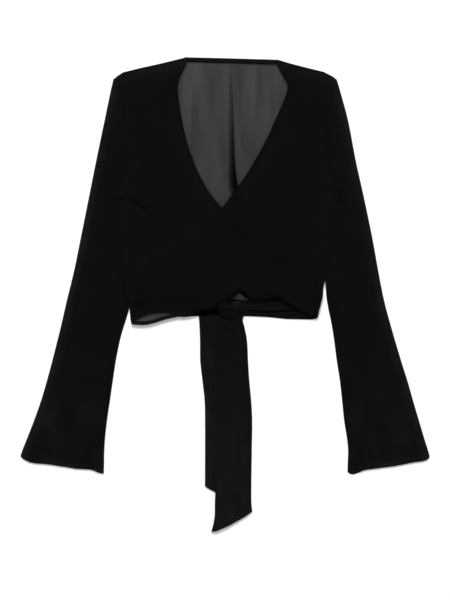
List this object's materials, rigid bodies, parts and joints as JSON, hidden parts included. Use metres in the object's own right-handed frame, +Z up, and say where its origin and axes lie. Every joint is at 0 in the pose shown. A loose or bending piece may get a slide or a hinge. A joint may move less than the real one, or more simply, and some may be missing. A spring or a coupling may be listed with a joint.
{
  "type": "wrap top",
  "caption": "Sheer black cropped wrap top with a V neck, long flared sleeves and a waist tie knotted in front, laid flat on its back.",
  "frame": {"origin": "centre of the underside, at the middle of the garment's length and width", "axes": "+Y up the garment from the tie's ends to the neck, +X towards the wearer's left sleeve, +Z up from the table through the front"},
  "size_m": [0.675, 0.783, 0.0097],
  "materials": {
    "cloth": "matt, sheer"
  },
  "bodies": {
    "root": {"back_panel": "cloth", "front_over_right": "cloth", "front_under_left": "cloth", "sleeve_right": "cloth", "sleeve_left": "cloth", "neck_binding_back": "cloth", "tie_waist": "cloth", "tie_knot": "cloth", "tie_tail_long": "cloth", "tie_tail_short": "cloth"}
  },
  "joints": []
}
